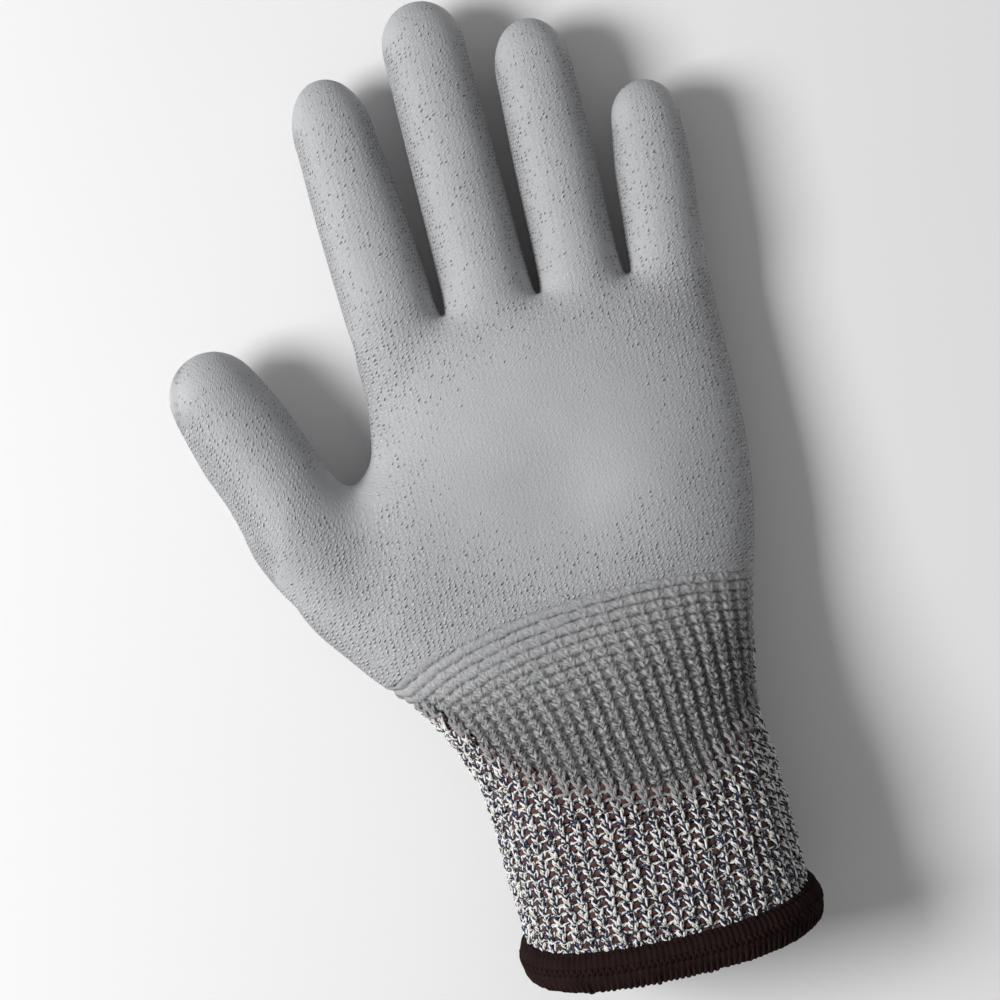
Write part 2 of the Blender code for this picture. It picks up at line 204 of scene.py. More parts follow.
class Stall:
    """One finger or thumb stall. t runs along it from its fork."""

    def __init__(self, name):
        self.name = name
        self.shape = STALLS[name]
        self.is_thumb = name == "thumb"
        knuckles = ["knuckle"] if self.is_thumb else ["middle_knuckle", "tip_knuckle"]
        self.segments = ["base", "tip"] if self.is_thumb else ["base", "middle", "tip"]
        fork = JOINTS[f"{name}_fork"]
        self.side = unit(fork["axis"])
        self.along = unit(np.cross((0, 0, 1), self.side * (1, 1, 0)))
        self.palmar = np.cross(self.side, self.along)
        self.origin = np.array(fork["pos_m"]) / MM - self.palmar * PIVOT_ABOVE_CENTRE
        places = [np.array(JOINTS[f"{name}_{knuckle}"]["pos_m"]) / MM for knuckle in knuckles]
        self.joints = [0.0] + [float((place - self.origin) @ self.along) for place in places]
        self.length = node_reach(f"{name}_tip_coating", self.origin, self.along) - self.shape["trim"]

    def half_sizes(self, t):
        into_cap = np.clip((t - (self.length - self.shape["cap"])) / self.shape["cap"], 0, 1)
        shrink = np.sqrt(np.maximum(0, 1 - into_cap**CAP_SQUARENESS))
        half_width = interpolate(self.shape["width"], t) / 2 * shrink
        return half_width, interpolate(self.shape["depth"], t) / 2 * shrink

    def coordinates(self, points):
        """Position along the stall, to its side and towards its palm side."""
        away = points - self.origin
        return away @ self.along, away @ self.side, away @ self.palmar

    def rings(self):
        start = self.shape["width"][0][0]
        cap_start = self.length - self.shape["cap"]
        body = np.arange(start, cap_start, 2.0)
        cap = cap_start + self.shape["cap"] * np.sin(np.linspace(0, math.pi / 2, 14)[:-1])
        angles = np.linspace(0, 2 * math.pi, 40, endpoint=False)
        power = 2 / STALL_SQUARENESS
        rings = []
        for t in np.concatenate([body, cap]):
            half_width, half_depth = self.half_sizes(t)
            across = half_width * signed_power(np.sin(angles), power)
            up = half_depth * signed_power(np.cos(angles), power)
            centre = self.origin + self.along * t
            rings.append(centre + np.outer(across, self.side) + np.outer(up, self.palmar))
        return rings, self.origin + self.along * start, self.origin + self.along * self.length

    def plane(self, t):
        """Point on the axis at t, in metres."""
        return tuple((self.origin + self.along * t) * MM)


# --- Hand body sections ---


def body_sides(y):
    """Left, right, palm side and back of the hand body at y."""
    return tuple(interpolate(side, y) for side in (THUMB_SIDE, LITTLE_SIDE, PALM_HEIGHT, BACK_HEIGHT))


def section(y, angle):
    """Points of the hand body's section at y. The angle runs from the middle of the palm side."""
    left, right, palm, back = body_sides(y)
    power = 2 / BODY_SQUARENESS
    x = (left + right) / 2 + (right - left) / 2 * signed_power(np.sin(angle), power)
    z = (palm + back) / 2 + (palm - back) / 2 * signed_power(np.cos(angle), power)
    return np.stack(np.broadcast_arrays(x, y, z), -1)


def palm_forms(points):
    """Adds the soft rises and hollows to the palm side."""
    raised = points.copy()
    for x, y, radius, height in PALM_FORMS:
        near = np.exp(-((points[:, 0] - x) ** 2 + (points[:, 1] - y) ** 2) / (radius / 1.6) ** 2)
        raised[:, 2] += height * near * smoothstep(12, 22, points[:, 2])
    return raised


# --- Meshes ---


def loft_faces(rows, columns, ring=False):
    """Quads between rows of points that each close on themselves. ring joins the last to the first."""
    i, j = np.meshgrid(np.arange(rows if ring else rows - 1), np.arange(columns), indexing="ij")
    here, below = i * columns, (i + 1) % rows * columns
    k = (j + 1) % columns
    return np.stack([here + j, below + j, below + k, here + k], -1).reshape(-1, 4)


def closed_loft(rings, start, end):
    """Vertices and faces of a tube closed by a fan of triangles at each end."""
    columns, rows = len(rings[0]), len(rings)
    points = np.concatenate([*rings, [start], [end]])
    faces = loft_faces(rows, columns).tolist()
    for j in range(columns):
        k = (j + 1) % columns
        faces.append([rows * columns, j, k])
        faces.append([rows * columns + 1, (rows - 1) * columns + k, (rows - 1) * columns + j])
    return points, faces


def add_object(name, data):
    made = bpy.data.objects.new(name, data)
    bpy.context.scene.collection.objects.link(made)
    return made


def above_floor(points, lowest=0.0):
    """The points, with any that would sink below the lowest height raised to it."""
    points[..., 2] = np.maximum(points[..., 2], lowest)
    return points


def new_mesh(name, points, faces, scale=MM):
    """A mesh from points in millimetres, unless another scale is given, and lists or an array of corners."""
    mesh = bpy.data.meshes.new(name)
    faces = faces if isinstance(faces, list) else faces.tolist()
    mesh.from_pydata((np.asarray(points) * scale).tolist(), [], faces)
    mesh.update()
    return mesh


def mesh_arrays(mesh):
    points = np.empty(len(mesh.vertices) * 3)
    mesh.vertices.foreach_get("co", points)
    faces = np.empty(len(mesh.loops), np.int32)
    mesh.loops.foreach_get("vertex_index", faces)
    return points.reshape(-1, 3), faces.reshape(-1, 4)


def vertex_normals(points, faces):
    diagonal = np.cross(points[faces[:, 2]] - points[faces[:, 0]], points[faces[:, 3]] - points[faces[:, 1]])
    normals = np.zeros_like(points)
    for corner in range(4):
        np.add.at(normals, faces[:, corner], diagonal)
    return normals / np.maximum(np.linalg.norm(normals, axis=1, keepdims=True), 1e-12)


def smoothed(values, edges, rounds, weight=None):
    """Values at vertices, moved halfway to their neighbours' average, rounds times, by weight."""
    count = len(values)
    weight = np.ones(count) if weight is None else weight
    edges = edges[(weight[edges] > 0.01).any(1)]
    known, local = np.unique(edges, return_inverse=True)
    a, b = local.reshape(-1, 2).T
    share = 0.5 * weight[known] * (weight[known] > 0.01)
    degree = np.bincount(a, minlength=len(known)) + np.bincount(b, minlength=len(known))
    result = values.copy().reshape(count, -1)
    for column in range(result.shape[1]):
        now = result[known, column]
        for _ in range(rounds):
            total = np.bincount(a, now[b], len(known)) + np.bincount(b, now[a], len(known))
            now = now + (total / degree - now) * share
        result[known, column] = now
    return result.reshape(values.shape)


def edges_of(faces):
    pairs = np.concatenate([faces[:, [0, 1]], faces[:, [1, 2]], faces[:, [2, 3]], faces[:, [3, 0]]])
    return np.unique(np.sort(pairs, axis=1), axis=0)


def hand_surface(stalls):
    """One closed surface of palm and stalls, as (points, faces, edges), in millimetres."""
    solids = [closed_loft(*stall.rings()) for stall in stalls]
    angles = np.linspace(0, 2 * math.pi, 96, endpoint=False)
    levels = np.arange(-52.0, 46.6, 1.5)
    rings = [palm_forms(section(y, angles)) for y in levels]
    middle = [rings[i].mean(0) for i in (0, -1)]
    solids.append(closed_loft(rings, *middle))
    points, faces, first = [], [], 0
    for solid_points, solid_faces in solids:
        points.append(solid_points)
        faces += [[v + first for v in face] for face in solid_faces]
        first += len(solid_points)
    blank = add_object("hand_blank", new_mesh("hand_blank", np.concatenate(points), faces, scale=1))
    remesh = blank.modifiers.new("union", "REMESH")
    remesh.mode = "VOXEL"
    remesh.voxel_size = VOXEL
    remesh.adaptivity = 0
    graph = bpy.context.evaluated_depsgraph_get()
    joined = bpy.data.meshes.new_from_object(blank.evaluated_get(graph))
    bpy.data.objects.remove(blank)
    points, faces = mesh_arrays(joined)
    edges = edges_of(faces)
    points = smoothed(points, edges, 6)
    points = smoothed(points, edges, 30, near_webs(points, stalls))
    points = smoothed(points, edges, 260, near_creases(points))
    return above_floor(points), faces, edges


def near_webs(points, stalls):
    """1 at the webs between the fingers, falling to 0 away from them."""
    near = np.zeros(len(points))
    fingers = [stall for stall in stalls if not stall.is_thumb]
    for a, b in zip(fingers, fingers[1:]):
        away = np.linalg.norm((points - (a.origin + b.origin) / 2) * (1, 1, 0.5), axis=1)
        near = np.maximum(near, 1 - smoothstep(2.5, 8, away))
    return near


def from_segment(points, start, end):
    """Distance from points to a segment, both seen from above."""
    start, end = np.array(start, float), np.array(end, float)
    along = end - start
    share = np.clip((points[:, :2] - start) @ along / (along @ along), 0, 1)
    return np.linalg.norm(points[:, :2] - start - share[:, None] * along, axis=1)


def near_creases(points):
    """1 where the thumb and the fingers run into the palm and the back, falling to 0 away from there."""
    on_faces = smoothstep(3, 8, np.abs(points[:, 2] - MIDDLE_Z))
    at_web = 1 - smoothstep(5, 12, from_segment(points, *THUMB_WEB))
    thumb_root = 1 - smoothstep(6, 16, from_segment(points, *THUMB_ROOT))
    thumb_root = np.maximum(thumb_root * on_faces, 0.4 * at_web)
    finger_roots = 0.5 * (1 - smoothstep(3, 9, np.abs(points[:, 1] - FINGER_ROOTS_Y))) * on_faces
    return np.maximum(thumb_root, finger_roots)


class Hand:
    """The hand surface with what each point needs: its stall, its knit coordinates and its film.

    u and v are the knit's coordinates across and along it, for the palm side (1) and for the back (-1).
    """

    # How far past its side a stall's faces reach, and between which t the knit passes from palm to stall
    FINGER_MARGIN, FINGER_KNIT = 1.5, (-2.0, 8.0)
    THUMB_MARGIN, THUMB_KNIT = 1.0, (-14.0, 2.0)
    # The thumb's faces end this far towards the palm, and the middle of its knit lies this far off its axis
    THUMB_PALM_SIDE, THUMB_KNIT_SHIFT = 15.0, 8

    def __init__(self):
        self.stalls = [Stall(name) for name in (*FINGERS, "thumb")]
        self.points, self.faces, edges = hand_surface(self.stalls)
        count = len(self.points)
        self.stall_of = np.full(count, -1)
        self.t = np.zeros(count)
        placed, claimed = [], np.zeros(count)
        for i, stall in enumerate(self.stalls):
            t, across, up = stall.coordinates(self.points)
            sizes = stall.half_sizes(np.minimum(t, stall.length - stall.shape["cap"] / 2))
            aside, above = np.abs(across) - sizes[0], np.abs(up) - sizes[1]
            margin = self.THUMB_MARGIN if stall.is_thumb else self.FINGER_MARGIN
            inside = (t > 0) & (aside < margin) & (above < 3)
            if stall.is_thumb:
                inside &= across < self.THUMB_PALM_SIDE
            self.stall_of[inside] = i
            self.t[inside] = t[inside]
            knit_from, knit_to = self.THUMB_KNIT if stall.is_thumb else self.FINGER_KNIT
            share = smoothstep(knit_from, knit_to, t) * ((aside < 2.5) & (above < 6))
            share = np.minimum(share, 1 - claimed)
            claimed += share
            placed.append((smoothed(share, edges, 40), stall, t, across, up, *sizes))
        body_u, body_facing = self.body_coordinates()
        rest = 1 - sum(share for share, *_ in placed)
        self.u = {face: rest * body_u[face] for face in (1, -1)}
        self.v = {face: rest * self.points[:, 1] for face in (1, -1)}
        self.facing = rest * body_facing
        self.crowded = np.zeros(count)
        for place in placed:
            self.add_stall_knit(*place)
        self.facing = smoothed(self.facing, edges, 4)
        ragged = 0.10 * noise_at(self.points, 0.55, 1) + 0.07 * noise_at(self.points, 0.16, 2)
        self.cover = self.facing - FILM_EDGE + ragged
        self.rib_y = interpolate(RIB_START, self.points[:, 0])

    def body_coordinates(self):
        """Knit coordinate across the hand body, for each face, and how far a point faces the palm side."""
        left, right, palm, back = body_sides(self.points[:, 1])
        across = (self.points[:, 0] - (left + right) / 2) / ((right - left) / 2)
        up = (self.points[:, 2] - (palm + back) / 2) / ((palm - back) / 2)
        u = {}
        for face in (1, -1):
            past_edge = np.maximum(0, -face * up + 0.2) * (palm - back) / 2 * np.sign(across)
            u[face] = self.points[:, 0] + past_edge
        return u, np.clip(up * 1.4, -1, 1)

    def add_stall_knit(self, share, stall, t, across, up, half_width, half_depth):
        """Adds a stall's share of the coordinates: round it, then straight across and over its tip."""
        over_tip = smoothstep(stall.length - 20, stall.length - 9, t)
        tip = smoothstep(stall.length - 15, stall.length - 4, t)
        self.crowded += share * tip * smoothstep(0.40, 0.80, np.abs(across) / half_width)
        middle_u = stall.origin[0] + (self.THUMB_KNIT_SHIFT if stall.is_thumb else 0)
        for face in (1, -1):
            angle = np.arctan2(across / half_width, face * up / half_depth)
            round_stall = angle * (half_width + half_depth) / 2
            self.u[face] += share * (middle_u + round_stall * (1 - over_tip) + 1.3 * across * over_tip)
            past_end = smoothstep(-0.25, 0.25, -face * up / half_depth) * (stall.length - t)
            over_end = tip * (0.8 * np.maximum(0, half_depth - face * up) + 2 * past_end)
            self.v[face] += share * (stall.origin[1] + t + over_end)
        radial = up / np.maximum(np.hypot(up / half_depth, across / half_width) * half_depth, 1e-6)
        self.facing += share * (radial * (1 - tip) + tip * (0.35 + 0.65 * radial))


# --- Node graphs ---


class Value:
    """A shader node's output. Each operator adds a math node."""

    def __init__(self, graph, socket):
        self.graph = graph
        self.socket = socket

    def __add__(self, other):
        return self.graph.math("ADD", self, other)

    def __sub__(self, other):
        return self.graph.math("SUBTRACT", self, other)

    def __rsub__(self, other):
        return self.graph.math("SUBTRACT", other, self)

    def __mul__(self, other):
        return self.graph.math("MULTIPLY", self, other)

    def __truediv__(self, other):
        return self.graph.math("DIVIDE", self, other)

    def __pow__(self, other):
        return self.graph.math("POWER", self, other)

    __radd__, __rmul__ = __add__, __mul__


class Graph:
    """A material, with short names for the shader nodes used here."""

    def __init__(self, name):
        self.material = bpy.data.materials.new(name)
        self.material.use_nodes = True
        self.tree = self.material.node_tree
        self.shader = self.tree.nodes["Principled BSDF"]

    def link(self, value, socket):
        if isinstance(value, Value):
            self.tree.links.new(value.socket, socket)
        else:
            socket.default_value = value

    def node(self, kind, inputs, output=0, **settings):
        """The output of a new node. inputs holds its inputs' values, by name or in order."""
        made = self.tree.nodes.new(kind)
        for key, value in settings.items():
            setattr(made, key, value)
        for key, value in inputs.items() if isinstance(inputs, dict) else enumerate(inputs):
            self.link(value, made.inputs[key])
        return Value(self, made.outputs[output])

    def math(self, operation, *values):
        return self.node("ShaderNodeMath", values, operation=operation)

    def floor(self, value):
        return self.math("FLOOR", value)

    def fraction(self, value):
        return self.math("FRACT", value)

    def sine(self, value):
        return self.math("SINE", value)

    def step(self, low, high, value):
        """Smooth rise from 0 at low to 1 at high."""
        inputs = (value, low, high, 0.0, 1.0)
        return self.node("ShaderNodeMapRange", inputs, interpolation_type="SMOOTHSTEP")

    def fade(self, low, high, value):
        """Smooth fall from 1 at low to 0 at high."""
        return 1.0 - self.step(low, high, value)

    def attribute(self, name, output="Fac"):
        return self.node("ShaderNodeAttribute", (), output, attribute_name=name)

    def parts(self, name):
        """The three values of a vector attribute."""
        split = self.tree.nodes.new("ShaderNodeSeparateXYZ")
        self.link(self.attribute(name, "Vector"), split.inputs[0])
        return [Value(self, output) for output in split.outputs]

    def join(self, x, y, z=0.0):
        return self.node("ShaderNodeCombineXYZ", (x, y, z))

    def random(self, *place):
        """A value from 0 to 1 for each place, with no pattern."""
        inputs = {"Vector": self.join(*place)}
        return self.node("ShaderNodeTexWhiteNoise", inputs, "Value", noise_dimensions="3D")

    def noise(self, vector, scale, detail=2.0, roughness=0.5):
        inputs = {"Vector": vector, "Scale": scale, "Detail": detail, "Roughness": roughness}
        return self.node("ShaderNodeTexNoise", inputs, "Fac")

    def mix(self, share, a, b):
        """The colour a, or b where share is 1."""
        colours = [c if isinstance(c, Value) else (*c, 1) for c in (a, b)]
        inputs = {"Factor": share, 6: colours[0], 7: colours[1]}
        return self.node("ShaderNodeMix", inputs, 2, data_type="RGBA")

    def shade(self, colour, value):
        """Colour times a value."""
        return self.node("ShaderNodeVectorMath", {0: colour, "Scale": value}, operation="SCALE")

    def bump(self, height, distance):
        normal = self.node("ShaderNodeBump", {"Strength": 1.0, "Distance": distance, "Height": height})
        self.link(normal, self.shader.inputs["Normal"])

    def finish(self, colour, roughness, sheen=0.0, specular=0.5):
        for key, value in {
            "Base Color": colour,
            "Roughness": roughness,
            "Sheen Weight": sheen,
            "Sheen Roughness": 0.5,
            "Specular IOR Level": specular,
        }.items():
            self.link(value, self.shader.inputs[key])
        return self.material


# --- Materials ---

FILM_GREY = (0.47, 0.475, 0.485)
FILM_THIN_GREY = (0.43, 0.43, 0.46)
FILM_DIMPLE = (0.075, 0.08, 0.10)
RIB_FILM_GREY = (0.385, 0.387, 0.395)
RIB_FILM_WORN = (0.215, 0.215, 0.213)
# Pale fibre flecks, painted only on the rib's raised stitches as a painted highlight
RIB_FILM_PALE_HIGHLIGHT = (0.56, 0.56, 0.55)
RIB_FILM_DARK = (0.035, 0.035, 0.043)
# Painted shade in the rib film's grooves: grey under the film, and dark brown where the brown yarn shows in
# the gaps near its edge
RIB_FILM_GROOVE_SHADE = (0.040, 0.040, 0.042)
RIB_FILM_BROWN_GAP_SHADE = (0.070, 0.036, 0.030)
YARN_WHITE = (0.90, 0.90, 0.91)
YARN_CREAM = (0.70, 0.69, 0.60)
YARN_NAVY = (0.012, 0.014, 0.045)
YARN_NAVY_PALE = (0.03, 0.05, 0.16)
YARN_BROWN = (0.108, 0.038, 0.031)
YARN_BROWN_DARK = (0.06, 0.02, 0.018)
YARN_BROWN_GAP = (0.02, 0.01, 0.01)
YARN_FILM = (0.33, 0.33, 0.33)
KNIT_PALE = (0.50, 0.50, 0.52)
KNIT_DARK = (0.10, 0.11, 0.17)
# Painted shade between the fine knit's stitches
KNIT_GAP_SHADE = (0.03, 0.03, 0.045)
GROUND_PALE = (0.55, 0.54, 0.50)
HEM_BROWN = (0.009, 0.0055, 0.005)
HEM_BROWN_PALE = (0.030, 0.0155, 0.0145)
FLOOR_WHITE = (0.93, 0.93, 0.93)

# The fine knit's columns and rows, as they show on the bare back
WALE = 1.45
COURSE = 1.1025
# The film takes on the stitches under it: their spacing and the lean of their legs
STITCH_WIDTH = 1.4
STITCH_HEIGHT = 1.0
STROKE_LEAN = math.radians(36)
# One marled row of the rib's inner face
GROUND_ROW = 1.25
# A stitch's ridge and the dimple beside it, as (distance aside, half length, half width). The ridge is also
# painted lighter in the film's colour, as a painted highlight.
RIDGE = (0.13, 0.60, 0.30)
DIMPLE = (-0.19, 0.42, 0.22)


def film_material():
    """Matte film over fine knit: a short leaning ridge at each stitch with a painted highlight on it, fibre
    grain with painted relief shading that grows where the film is thin, and dimples where the film is thin.
    """
    g = Graph("coated_film")
    u, v, thin = g.parts("knit")
    place = g.join(u, v)
    column = u / STITCH_WIDTH + (g.noise(place, 0.45) - 0.5) * 0.9
    row = v / STITCH_HEIGHT + (g.noise(g.join(v, u, 5.0), 0.45) - 0.5) * 0.9
    stitch = (g.floor(column), g.floor(row))
    chance, strength = g.random(*stitch, 3.0), g.random(*stitch, 8.0)
    x = (g.fraction(column) - 0.5) * STITCH_WIDTH + (g.random(*stitch, 5.0) - 0.5) * 0.5
    y = (g.fraction(row) - 0.5) * STITCH_HEIGHT + (g.random(*stitch, 6.0) - 0.5) * 0.3
    along = x * math.cos(STROKE_LEAN) + y * math.sin(STROKE_LEAN)
    across = y * math.cos(STROKE_LEAN) - x * math.sin(STROKE_LEAN)

    def stroke(aside, half_length, half_width):
        return g.fade(0.10, 1.0, (along / half_length) ** 2.0 + ((across - aside) / half_width) ** 2.0)

    ridge = stroke(*RIDGE) * (strength * 0.8 + 0.2)
    patches = g.noise(place, 0.07, 3.0)
    likely = thin * 0.95 + (patches - 0.5) * 0.6
    likely = g.math("MAXIMUM", g.math("MINIMUM", likely, 0.80), 0.03)
    here = g.step(1.0 - likely, 1.0 - likely + 0.35, chance)
    dimple = stroke(*DIMPLE) * here * (strength * 0.70 + 0.30)
    leaning = g.join(u * 0.8 + v * 0.6, (v * 0.8 - u * 0.6) * 1.9)
    fibres = g.noise(leaning, 1.25, 3.0, 0.65) - 0.5
    cloud = g.noise(place, 0.10) - 0.5
    rough = thin * thin
    # Fibre grain, made stronger where the film is thin as painted relief shading, and each ridge painted
    # lighter as a painted highlight
    grain_and_painted_relief_light = fibres * (rough * 1.30 + 0.34) + (ridge - 0.2) * (rough * 0.75 + 0.02)
    base = g.shade(g.mix(thin * 0.30, FILM_GREY, FILM_THIN_GREY), 1.0 + grain_and_painted_relief_light + cloud * 0.12)
    colour = g.mix(dimple * (thin * 0.50 + 0.40), base, FILM_DIMPLE)
    g.bump(fibres * (rough * 1.2 + 0.7) - dimple * 1.7 + ridge * (rough * 1.5 + 0.14), 0.00032)
    return g.finish(colour, 0.60, sheen=0.03, specular=0.35)


def knit_material():
    """Fine plain knit of a white and navy yarn: two legs to each stitch, with painted shade between them."""
    g = Graph("liner_knit")
    u, v, _ = g.parts("knit")
    wobble = (g.noise(g.join(u, v), 0.5, 1.0) - 0.5) * 0.25
    column = u / WALE + wobble
    column_index = g.floor(column)
    x = g.fraction(column) - 0.5
    aside, side = g.math("ABSOLUTE", x), g.math("SIGN", x)
    row = v / COURSE + wobble - aside * 1.35
    row_index = g.floor(row)
    y = g.fraction(row)
    leg = g.math("MAXIMUM", g.sine(aside * (2 * math.pi)), 0.001)
    relief = g.sine(y * math.pi) ** 0.6 * leg**0.5
    ply = g.fraction(y + aside * 2.2 + side * 0.2)
    pick = g.random(column_index * 2.0 + side, row_index, 1.0)
    run = g.noise(g.join(u * 0.35, row_index, column_index), 1.0)
    pale = g.mix(g.step(0.35, 0.75, pick), YARN_WHITE, KNIT_PALE)
    dark = g.mix(pick, YARN_NAVY, KNIT_DARK)
    colour = g.mix(g.step(0.46, 0.62, ply * 0.55 + (run * 0.30 + pick * 0.22)), pale, dark)
    # Painted shade: near black where the relief is low, between the legs and rows of the stitches
    colour = g.mix(g.fade(0.12, 0.5, relief), colour, KNIT_GAP_SHADE)
    g.bump(relief, 0.00035)
    return g.finish(colour, 0.85, sheen=0.25, specular=0.2)


def rib_film_material():
    """Film over the rib: painted shade in its grooves, rough on its stitches with pale flecks painted on them
    as a painted highlight, and brown yarn under painted shade in the gaps near its edge.
    """
    g = Graph("coated_rib")
    u, v, level = g.parts("knit")
    bare = g.attribute("bare")
    lean = g.math("SIGN", g.sine(u * (2 * math.pi / RIB_WALE)))
    along, across = u * 0.7 + v * lean * 0.7, v * 0.7 - u * lean * 0.7
    fibres = g.noise(g.join(along * 0.55, across * 1.5), 1.25, 3.0, 0.6)
    grain = fibres - 0.5
    raised = g.shade(g.mix(bare, RIB_FILM_GREY, RIB_FILM_WORN), grain * (bare * 3.5 + 0.8) + 1.0)
    speckled = bare * 1.5 + 0.08
    high = g.step(0.35, 0.95, level)
    # Pale fibre flecks painted only on the raised stitches, a painted highlight
    colour = g.mix(g.step(0.52, 0.60, fibres) * high * speckled, raised, RIB_FILM_PALE_HIGHLIGHT)
    colour = g.mix(g.fade(0.40, 0.47, fibres) * speckled, colour, RIB_FILM_DARK)
    # Painted shade in the grooves: dark grey under the film, dark brown where the brown yarn shows in the
    # bare gaps near the edge
    low = g.mix(g.step(0.55, 1.0, bare), RIB_FILM_GROOVE_SHADE, RIB_FILM_BROWN_GAP_SHADE)
    colour = g.mix(g.fade(0.10, 0.66, level + grain * 0.30) * 0.92, colour, low)
    g.bump(grain * (bare * 2.2 + 0.8), 0.0005)
    return g.finish(colour, 0.62, specular=0.3)


def yarn_material(name, base, other, share_low, share_high, dark=YARN_NAVY):
    """Spun yarn: fibres along it, patches of a second colour, and film where it is coated."""
    g = Graph(name)
    around, along, coated = g.parts("knit")
    fibres = g.noise(g.join(around * 3.0, along * 0.6), 3.0, 3.0, 0.7) - 0.5
    patch = g.noise(g.join(0.0, along * 0.8, around), 1.0, 1.0)
    colour = g.mix(g.step(share_low, share_high, patch), base, other)
    colour = g.shade(colour, fibres * 0.5 + 1.0)
    colour = g.mix(g.fade(0.30, 0.42, fibres + 0.5) * 0.35, colour, dark)
    colour = g.mix(coated, colour, g.shade(YARN_FILM, fibres * 0.6 + 1.0))
    g.bump(fibres, 0.00012)
    return g.finish(colour, 0.8, sheen=0.3, specular=0.2)


def ground_material():
    """Inner face of the rib: marled ridges with brown between, each row painted darker towards its edges as
    painted shade.
    """
    g = Graph("rib_ground")
    u, v, ridge = g.parts("knit")
    arc = g.sine(g.fraction(v / GROUND_ROW) * math.pi)
    marl = g.noise(g.join(u, v * 1.6), 1.6, 3.0, 0.7)
    yarn = g.mix(g.step(0.44, 0.56, marl), YARN_NAVY, GROUND_PALE)
    colour = g.mix(g.step(-0.1, 0.6, ridge), yarn, YARN_BROWN)
    # Painted shade: each row painted down to half its colour towards its edges, as if shaded between the rows
    colour = g.shade(colour, arc * 0.5 + 0.5)
    g.bump(arc, 0.0004)
    return g.finish(colour, 0.85, sheen=0.2, specular=0.2)


def hem_material(name, tone):
    """Dark matte sewing thread, brown where it catches light."""
    g = Graph(name)
    around, along, _ = g.parts("knit")
    fibres = g.noise(g.join(around * 2.0, along * 1.2), 2.2, 3.0, 0.7) - 0.5
    patch = g.noise(g.join(along, around, 3.0), 0.25)
    dark, pale = (tuple(c * tone for c in colour) for colour in (HEM_BROWN, HEM_BROWN_PALE))
    colour = g.shade(g.mix(patch, dark, pale), fibres * 0.9 + 1.0)
    g.bump(fibres, 0.0002)
    return g.finish(colour, 0.9, specular=0.05)


def floor_material():
    g = Graph("floor")
    place = g.node("ShaderNodeTexCoord", (), "Object")
    return g.finish(g.shade(FLOOR_WHITE, g.noise(place, 6.0) * 0.03 + 0.97), 0.9, specular=0.1)


# --- Pieces ---


def make_piece(name, points, faces, material, knit, normals=None, extra=None):
    """A piece in metres. knit holds three values a point for the material, in millimetres."""
    used, faces = np.unique(faces, return_inverse=True)
    faces = faces.reshape(-1, 4)
    mesh = new_mesh(name, points[used], faces)
    for key, values in {"knit": knit, **(extra or {})}.items():
        values = np.asarray(values, np.float32)[used]
        kind = "FLOAT_VECTOR" if values.ndim == 2 else "FLOAT"
        attribute = mesh.attributes.new(key, kind, "POINT")
        attribute.data.foreach_set("vector" if values.ndim == 2 else "value", values.ravel())
    mesh.polygons.foreach_set("use_smooth", np.ones(len(mesh.polygons), bool))
    mesh.update()
    if normals is not None:
        mesh.normals_split_custom_set_from_vertices(normals[used].tolist())
    mesh.materials.append(material)
    return add_object(name, mesh)


def follow(piece, stall, segment):
    """Works out a span round the joint at the near end of a stall's segment, which nothing uses, and bakes
    the piece's placement into its mesh.
    """
    i = stall.segments.index(segment)
    before = "palm" if i == 0 else f"{stall.name}_{stall.segments[i - 1]}"
    joint = stall.joints[i]
    far = stall.joints[i + 1] if i + 1 < len(stall.joints) else stall.length
    reach = (far - joint) / 2
    if i == 0:
        start, end = joint + 1.0, joint + reach
    else:
        start, end = joint - min(reach, (joint - stall.joints[i - 1]) / 2), joint + min(reach, 10.0)
    stall.plane(start)
    stall.plane(end)
    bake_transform(piece)


def cut_planes(stall):
    """Where a stall's pieces meet: half way between its joints."""
    middles = [(a + b) / 2 for a, b in zip(stall.joints, stall.joints[1:])]
    return [0.0, *middles, stall.length + 10]


def film_thinness(hand):
    """How thin the film is at each point, from 0 on the palm's middle to 1 at its edge."""
    points = hand.points
    from_centre = (points[:, :2] - (20, 6)) / (41, 38)
    from_centre[:, 1] *= np.where(from_centre[:, 1] < 0, 1.4, 1)
    thin = 0.80 - 0.85 * np.exp(-((from_centre**2).sum(1) ** 1.3))
    on_stall = np.maximum(smoothstep(36, 60, points[:, 1]), smoothstep(-34, -52, points[:, 0]))
    thin -= 0.42 * smoothstep(0.2, 0.95, hand.facing) * on_stall
    web_distance = from_segment(points, *THUMB_WEB)
    thin -= 0.4 * (1 - smoothstep(4, 14, web_distance))
    thin += 0.35 * (1 - smoothstep(0.0, 0.45, hand.cover)) + 0.45 * (1 - smoothstep(0.4, 1.25, hand.cover))
    # The knit columns bunch up in the thumb web, where the film fills them
    filled = np.maximum(0.85 * hand.crowded, 0.85 * (1 - smoothstep(3, 10, web_distance)))
    return np.clip(thin, 0, 1) * (1 - filled)


